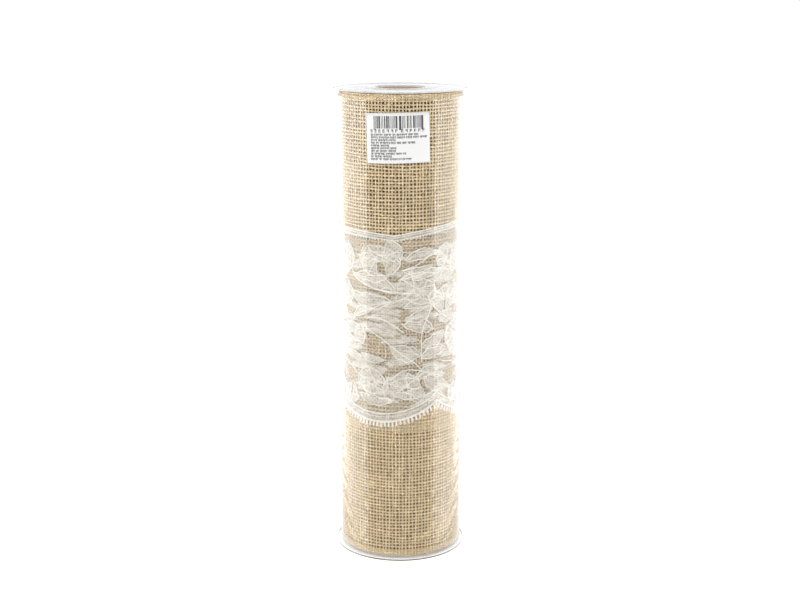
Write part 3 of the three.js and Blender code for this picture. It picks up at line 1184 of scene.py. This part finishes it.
class RUNNER_OT_lace_borders(Operator):
    """Makes the dense borders of the lace, with its cords, lashes and knots"""

    bl_idname = "runner.lace_borders"
    bl_label = "Lace borders"

    def execute(self, context):
        self.lace = lace = context.scene.runner_lace
        first, last = wrap_span()
        span, fringe = last - first - 0.2, lace.fringe / MM
        border, heading = lace.border / MM, lace.heading / MM
        bm = bmesh.new()
        panel(bm, 220, 3, lambda u, v: self.between(first + 0.1 + span * u, v, fringe, fringe + border))
        panel(bm, 220, 2, lambda u, v: self.between(first + 0.1 + span * u, v, -heading, 0))
        sheet_piece("runner_lace_border_fills", bm)
        steps = [first + 0.2 + (span - 0.2) * i / 260 for i in range(261)]
        lines = [
            self.line(steps, lower_edge, fringe + 0.3, 1.3),
            self.line(steps, lower_edge, fringe + 0.9, 0.8),
            self.line(steps, lower_edge, fringe + border, 1.15),
            self.line(steps, lower_edge, fringe + 0.62 * border, 0.5),
            self.line(steps, upper_edge, -0.2, 1.1),
            self.line(steps, upper_edge, -0.5 * heading, 0.6),
            self.line(steps, upper_edge, -heading, 0.9),
            self.zigzag(upper_edge, -0.15, -0.55, 1.15, 0.6),
            self.zigzag(lower_edge, fringe + 1.3, fringe + 0.6 * border, 1.25, 0.45),
        ]
        cord_piece("runner_lace_border_cords", within_wrap(lines), lace.outline, CORD_OUT, 1)
        cord_piece("runner_lace_fringe", within_wrap(self.lashes()), 0.72 * MM, CORD_OUT - 0.36, 1)
        self.knots(first, last)
        return {"FINISHED"}

    def between(self, s, v, low, high):
        """A place in the border, or in the heading when low is negative."""
        edge = upper_edge(s) if low < 0 else lower_edge(s)
        return flat_place(s, edge + low + (high - low) * v, FILL_OUT + 0.02)

    def line(self, steps, edge, rise, thickness):
        return [(s, edge(s) + rise, thickness * (1 + 0.12 * float(wander(s, rise)))) for s in steps]

    def zigzag(self, edge, low, high, step, thickness):
        first, last = wrap_span()
        count = int((last - first) / step)
        return [(first + 0.3 + i * step, edge(first + 0.3 + i * step) + (low if i % 2 else high), thickness)
                for i in range(count)]

    def lashes(self):
        """Short thick lashes below the lower border, square to its edge."""
        first, last = wrap_span()
        step, reach = self.lace.fringe_pitch / MM, self.lace.fringe / MM
        for i in range(int((last - first) / step)):
            s = first + 0.8 + i * step
            slope = max(-0.9, min(0.9, lower_edge(s + 0.5) - lower_edge(s - 0.5)))
            lean = slope * 0.55 * reach
            long = reach * (0.9 + 0.25 * float(scatter(i * 1.7)))
            top = lower_edge(s) + reach + 0.2
            yield [(s + lean * t, top - long * t, size)
                   for t, size in ((0, 0.65), (0.3, 0.85), (0.7, 1.0), (0.95, 0.85), (1.0, 0.5))]

    def knots(self, first, last):
        """A row of small knots under the heading."""
        bm = bmesh.new()
        heading = self.lace.heading / MM
        count = int((last - first) / 1.9)
        for i in range(count):
            s = first + 0.9 + i * 1.9
            x, y, z = flat_place(s, upper_edge(s) - heading - 0.6, CORD_OUT)
            size = Matrix.Diagonal((0.55 * MM, 0.24 * MM, 0.62 * MM, 1))
            place = Matrix.Translation((x, y, z)) @ size
            bmesh.ops.create_icosphere(bm, subdivisions=1, radius=1, matrix=place)
        mesh = mesh_from(bm, "runner_lace_knots")
        store_flat(mesh)
        wind(mesh)
        finish_piece(mesh, "runner_lace_knots", "roll", [bpy.data.materials["lace_thread"]])


class RUNNER_OT_stitches(Operator):
    """Sews the lace to the jute with a row of stitches along each border"""

    bl_idname = "runner.stitches"
    bl_label = "Stitching"

    pitch: FloatProperty(
        name="Pitch",
        description="From stitch to stitch",
        default=3.4 * MM,
        min=1 * MM,
        precision=5,
        unit="LENGTH",
    )

    def execute(self, context):
        first, last = wrap_span()
        pitch = self.pitch / MM
        for name, low, high in (
            ("lower_stitching", LOWER_STITCH_LOW, LOWER_STITCH_HIGH),
            ("upper_stitching", UPPER_STITCH_LOW, UPPER_STITCH_HIGH),
        ):
            height = (low.z + high.z) / 2 / MM
            bm = wound_strip(0.08 * MM, low.z, high.z, 0.55 * MM, 72, 1)
            mesh = mesh_from(bm, name + "_wraps")
            store_flat(mesh)
            thread = bpy.data.materials["lace_thread"]
            hidden = finish_piece(mesh, name + "_wraps", "roll", [thread])
            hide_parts(name)
            paths = []
            for i in range(int((last - first - 4) / pitch)):
                s = first + 2 + i * pitch
                drift = 0.12 * float(wander(s / 12, 5))
                paths.append([
                    (*flat_place(s + pitch * a, height + drift + 0.1 * b, out), size)
                    for a, b, out, size in (
                        (0, -1, 0.62, 0.7),
                        (0.1, -1, 0.92, 1),
                        (0.4, 0, 0.98, 1),
                        (0.72, 1, 0.92, 1),
                        (0.8, 1, 0.62, 0.7),
                    )
                ])
            mesh = cords_mesh(name + "_stitches", [(path, False) for path in paths], 0.17 * MM, 1)
            store_flat(mesh)
            wind(mesh)
            finish_piece(mesh, name + "_stitches", "roll", [thread])
        return {"FINISHED"}


class RUNNER_OT_cloth_sheets(Operator):
    """Does nothing: no cut sizes of the jute or the lace are stated here"""

    bl_idname = "runner.cloth_sheets"
    bl_label = "Cloth sizes"

    def execute(self, context):
        return {"FINISHED"}


# ---------------------------------------------------------------- the film and the label


class RUNNER_OT_film(Operator):
    """Wraps the roll in clear film, lapped at the back and creased towards its foot"""

    bl_idname = "runner.film"
    bl_label = "Clear film"

    columns: IntProperty(name="Columns", description="Steps round the roll", default=300, min=48)
    rows: IntProperty(name="Rows", description="Steps up the roll", default=110, min=12)

    def execute(self, context):
        sizes = context.scene.runner_pack
        start = math.radians(-172)
        reach = TURN + sizes.film_lap / front_radius()
        bm = bmesh.new()
        made = bmesh.ops.create_grid(bm, x_segments=self.columns, y_segments=self.rows, size=0.5)
        for vert in made["verts"]:
            turned = start + reach * (vert.co.x + 0.5)
            z = FILM_LOW.z + (FILM_HIGH.z - FILM_LOW.z) * (vert.co.y + 0.5)
            out = float(film_radius(turned)) + 1.15 * MM + sizes.film_crease * self.crease(turned, z / MM)
            out += self.bulge(turned, z / MM) * MM
            vert.co = Vector((out * math.sin(turned), -out * math.cos(turned), z))
        bmesh.ops.recalc_face_normals(bm, faces=bm.faces)
        bmesh.ops.solidify(bm, geom=bm.faces[:], thickness=0.05 * MM)
        bmesh.ops.recalc_face_normals(bm, faces=bm.faces)
        mesh = mesh_from(bm, "film_wrap_clear")
        clear = clear_material("clear_film", (0.985, 0.985, 0.985), 1.5, 0.06, 160.0, 0.0004)
        film = finish_piece(mesh, "film_wrap_clear", "roll", [clear])
        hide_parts("film_wrap")
        return {"FINISHED"}

    def bulge(self, turned, z):
        """The film lies flat up by the label, and bulges gently below."""
        depth = 0.012 + 0.075 * max(0.0, min(1.0, (210 - z) / 110))
        around = math.degrees(turned)
        up = math.sin(z / 3.1 + 1.5 * math.sin(around / 23))
        return depth * (1 + up * math.sin(around / 9 + z / 17)) / 2

    def crease(self, turned, z):
        """Tension creases that slant down from each side to the front, with swells between."""
        aside = abs(math.degrees(turned))
        strength = max(0.0, min(1.0, (aside - 10) / 40)) * max(0.0, min(1.0, (150 - aside) / 40))
        strength *= max(0.0, min(1.0, (135 - z) / 30)) * (0.35 + 0.65 * min(1.0, z / 18))
        slope = 0.42 if turned > 0 else 0.47
        run = z - slope * aside
        waver = 2.6 * math.sin(aside / 19 + 1.3) + 1.7 * math.sin(z / 11)
        first = math.sin((run + waver) / 1.35) ** 2
        second = math.sin((run * 0.83 - 7 + waver) / 2.1) ** 2
        swell = 0.5 + 0.5 * math.sin((run + 1.6 * waver) / 1.45)
        return strength * (0.45 * first ** 3 + 0.25 * second ** 3 + 0.6 * swell)


class RUNNER_OT_label(Operator):
    """Makes the paper label with its printed bars and lines of small print"""

    bl_idname = "runner.label"
    bl_label = "Label"

    def execute(self, context):
        sizes = context.scene.runner_pack
        self.half_width = sizes.label_width / 2
        self.half_height = (LABEL_HIGH.z - LABEL_LOW.z) / 2
        self.turn = Matrix.Rotation(sizes.label_turn, 4, "Y")
        self.level = 1.25 * MM
        middle = sizes.label_place * (front_radius() + self.level)
        self.place = Matrix.Translation((middle, 0, (LABEL_LOW.z + LABEL_HIGH.z) / 2))
        bm = bmesh.new()
        made = bmesh.ops.create_grid(bm, x_segments=26, y_segments=10, size=0.5)
        for vert in made["verts"]:
            vert.co = Vector((2 * vert.co.x * self.half_width, -1.24 * MM, 2 * vert.co.y * self.half_height))
        self.label_piece(bm, "product_label_paper", 0.07 * MM, paper_material())
        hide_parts("product_label")
        bm = bmesh.new()
        for low, high, bottom, top in (*self.bars(), *self.small_print()):
            columns = max(1, round((high - low) / 1.5))
            panel(bm, columns, 1, lambda u, v: (
                (low + (high - low) * u) * MM, -1.32 * MM, (bottom + (top - bottom) * v) * MM
            ))
        self.label_piece(bm, "product_label_print", 0.012 * MM, ink_material())
        return {"FINISHED"}

    def label_piece(self, bm, name, thickness, material):
        bmesh.ops.recalc_face_normals(bm, faces=bm.faces)
        for face in bm.faces:
            if face.normal.y > 0:
                face.normal_flip()
        bmesh.ops.solidify(bm, geom=bm.faces[:], thickness=thickness)
        bmesh.ops.recalc_face_normals(bm, faces=bm.faces)
        mesh = mesh_from(bm, name)
        store_flat(mesh)
        mesh.transform(self.place @ self.turn)
        wind(mesh, level=self.level)
        finish_piece(mesh, name, "roll", [material])

    def bars(self):
        """Upright bars of several widths, in millimetres from the label's middle."""
        top = self.half_height / MM - 1.7
        place, index = -14.2, 0
        while place < 14.6:
            wide = (0.32, 0.64, 0.32, 0.95, 0.64, 0.32, 1.25)[int(7 * float(scatter(index * 1.3 + 2)))]
            tall = 8.0 if index in (0, 1, 15, 16) or place > 13.4 else 7.1
            yield place, min(place + wide, 15.0), top - tall, top
            place += wide + (0.35, 0.66, 0.35, 0.95, 0.5)[int(5 * float(scatter(index * 2.1 + 7)))]
            index += 1

    def small_print(self):
        """A row of marks under the bars, and lines of close marks in place of words."""
        top = self.half_height / MM - 9.4
        for i in range(13):
            place = -16.4 + i * 2.5 + (0.8 if i > 6 else 0)
            yield from self.mark(place, top - 1.7, 1.25, 1.7, i)
        for line, reach in enumerate((27, 33, 13, 22, 9.5, 15.5, 14, 20.5, 12, 21)):
            level = top - 3.6 - line * 1.56
            place, word = -16.3, 0
            while place < reach - 16.3:
                letters = 2 + int(6 * float(scatter(line * 9.1 + word * 2.7)))
                for letter in range(letters):
                    seed = line * 31 + word * 7 + letter
                    yield from self.mark(place + letter * 0.9, level, 0.74, 1.12, seed)
                place += letters * 0.9 + 0.5
                word += 1

    def mark(self, place, level, wide, tall, seed):
        """An upright and two short bars, which stand in for a printed figure or letter."""
        stroke = 0.2 * wide + 0.12
        side = place if float(scatter(seed * 1.7)) > 0.4 else place + wide - stroke
        yield side, side + stroke, level, level + tall
        for share in (0.0, 0.45, 0.85)[int(2 * float(scatter(seed * 2.3))):]:
            yield place, place + wide, level + share * tall, level + share * tall + 0.2 * tall


# ---------------------------------------------------------------- the stage


class RUNNER_OT_stage(Operator):
    """Sets the white floor, the softboxes and the camera"""

    bl_idname = "runner.stage"
    bl_label = "Stage"

    def execute(self, context):
        bm = bmesh.new()
        bmesh.ops.create_grid(bm, x_segments=2, y_segments=2, size=3.0)
        mesh = mesh_from(bm, "floor")
        mesh.materials.append(floor_material())
        floor = bpy.data.objects.new("floor", mesh)
        floor.location.z = -0.0004
        floor.visible_glossy = False
        context.scene.collection.objects.link(floor)
        floor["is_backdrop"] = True
        self.world(context)
        middle = Vector((0, 0, 0.14))
        for name, side in (("panel_left", -1), ("panel_right", 1)):
            near, far = Vector((side * 0.27, -0.144, 0)), Vector((side * 0.42, 0.80, 0))
            place = (near + far) / 2 + Vector((0, 0, 0.10))
            square = Vector((far.y - near.y, near.x - far.x, 0)) * -side
            self.softbox(context, name, place, place + square, (far - near).length, 0.42, 1.8)
        self.softbox(context, "key", Vector((-0.5, -1.4, 1.2)), middle, 0.7, 0.7, 10.5)
        self.softbox(context, "overhead", Vector((0, 0.2, 1.6)), middle, 1.6, 1.6, 4.6)
        self.camera(context)
        return {"FINISHED"}

    def world(self, context):
        """White all round. What shines mirrors a dimmer room on the side of the camera."""
        world = bpy.data.worlds.new("studio")
        context.scene.world = world
        world.use_nodes = True
        nodes, links = world.node_tree.nodes, world.node_tree.links
        split = nodes.new("ShaderNodeSeparateXYZ")
        links.new(nodes.new("ShaderNodeTexCoord").outputs["Generated"], split.inputs[0])
        flag = nodes.new("ShaderNodeMapRange")
        for name, value in (("From Min", -0.60), ("From Max", -0.38), ("To Min", 0.3), ("To Max", 1.07)):
            flag.inputs[name].default_value = value
        links.new(split.outputs["Y"], flag.inputs["Value"])
        either = nodes.new("ShaderNodeMix")
        either.inputs[2].default_value = 1.07
        links.new(nodes.new("ShaderNodeLightPath").outputs["Is Glossy Ray"], either.inputs[0])
        links.new(flag.outputs[0], either.inputs[3])
        links.new(either.outputs[0], nodes["Background"].inputs["Strength"])
        nodes["Background"].inputs["Color"].default_value = (1, 1, 1, 1)
        context.scene.view_settings.view_transform = "Standard"

    def softbox(self, context, name, place, aim, width, height, power):
        light = bpy.data.lights.new(name, "AREA")
        light.shape = "RECTANGLE"
        light.size, light.size_y = width, height
        light.energy = power
        holder = bpy.data.objects.new(name, light)
        holder.location = place
        holder.rotation_euler = (aim - place).to_track_quat("-Z", "Y").to_euler()
        holder.visible_camera = False
        context.scene.collection.objects.link(holder)

    def camera(self, context):
        camera = bpy.data.cameras.new("camera")
        camera.lens = 63.9
        camera.sensor_width = 36
        camera.clip_start, camera.clip_end = 0.05, 20
        holder = bpy.data.objects.new("camera", camera)
        holder.location = (0, -0.85, 0.3535)
        holder.rotation_euler = (math.radians(90 - 13.16), 0, 0)
        context.scene.collection.objects.link(holder)
        context.scene.camera = holder


# ---------------------------------------------------------------- panel and start


OPERATORS = (
    RUNNER_OT_core,
    RUNNER_OT_flanges,
    RUNNER_OT_inner_cloth,
    RUNNER_OT_woven_wrap,
    RUNNER_OT_fuzz,
    RUNNER_OT_lace_net,
    RUNNER_OT_lace_motifs,
    RUNNER_OT_lace_borders,
    RUNNER_OT_stitches,
    RUNNER_OT_cloth_sheets,
    RUNNER_OT_film,
    RUNNER_OT_label,
    RUNNER_OT_stage,
)
SETTINGS = (
    ("runner_winding", RunnerWinding),
    ("runner_jute", JuteSizes),
    ("runner_lace", LaceSizes),
    ("runner_pack", PackSizes),
)


class RUNNER_PT_sidebar(Panel):
    """The runner's sizes, and a button for each step"""

    bl_idname = "RUNNER_PT_sidebar"
    bl_label = "Table Runner"
    bl_space_type = "VIEW_3D"
    bl_region_type = "UI"
    bl_category = "Table Runner"

    def draw(self, context):
        for name, group in SETTINGS:
            box = self.layout.box()
            box.label(text=group.__doc__)
            for key in group.__annotations__:
                box.prop(getattr(context.scene, name), key)
        for step in OPERATORS:
            self.layout.operator(step.bl_idname)


def register():
    for group in (*(group for _, group in SETTINGS), *OPERATORS, RUNNER_PT_sidebar):
        bpy.utils.register_class(group)
    for name, group in SETTINGS:
        setattr(bpy.types.Scene, name, PointerProperty(type=group))


def unregister():
    for name, _ in SETTINGS:
        delattr(bpy.types.Scene, name)
    for group in (RUNNER_PT_sidebar, *OPERATORS, *(group for _, group in SETTINGS)):
        bpy.utils.unregister_class(group)


def corners(box):
    return [[float(value) for value in corner] for corner in box]


def main():
    register()
    for step in OPERATORS:
        kind, name = step.bl_idname.split(".")
        if getattr(getattr(bpy.ops, kind), name)() != {"FINISHED"}:
            raise RuntimeError(step.bl_label + " did not finish")
    {"cad": corners(FRAME_BOX), "visual": corners(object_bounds())}


if __name__ == "__main__":
    main()
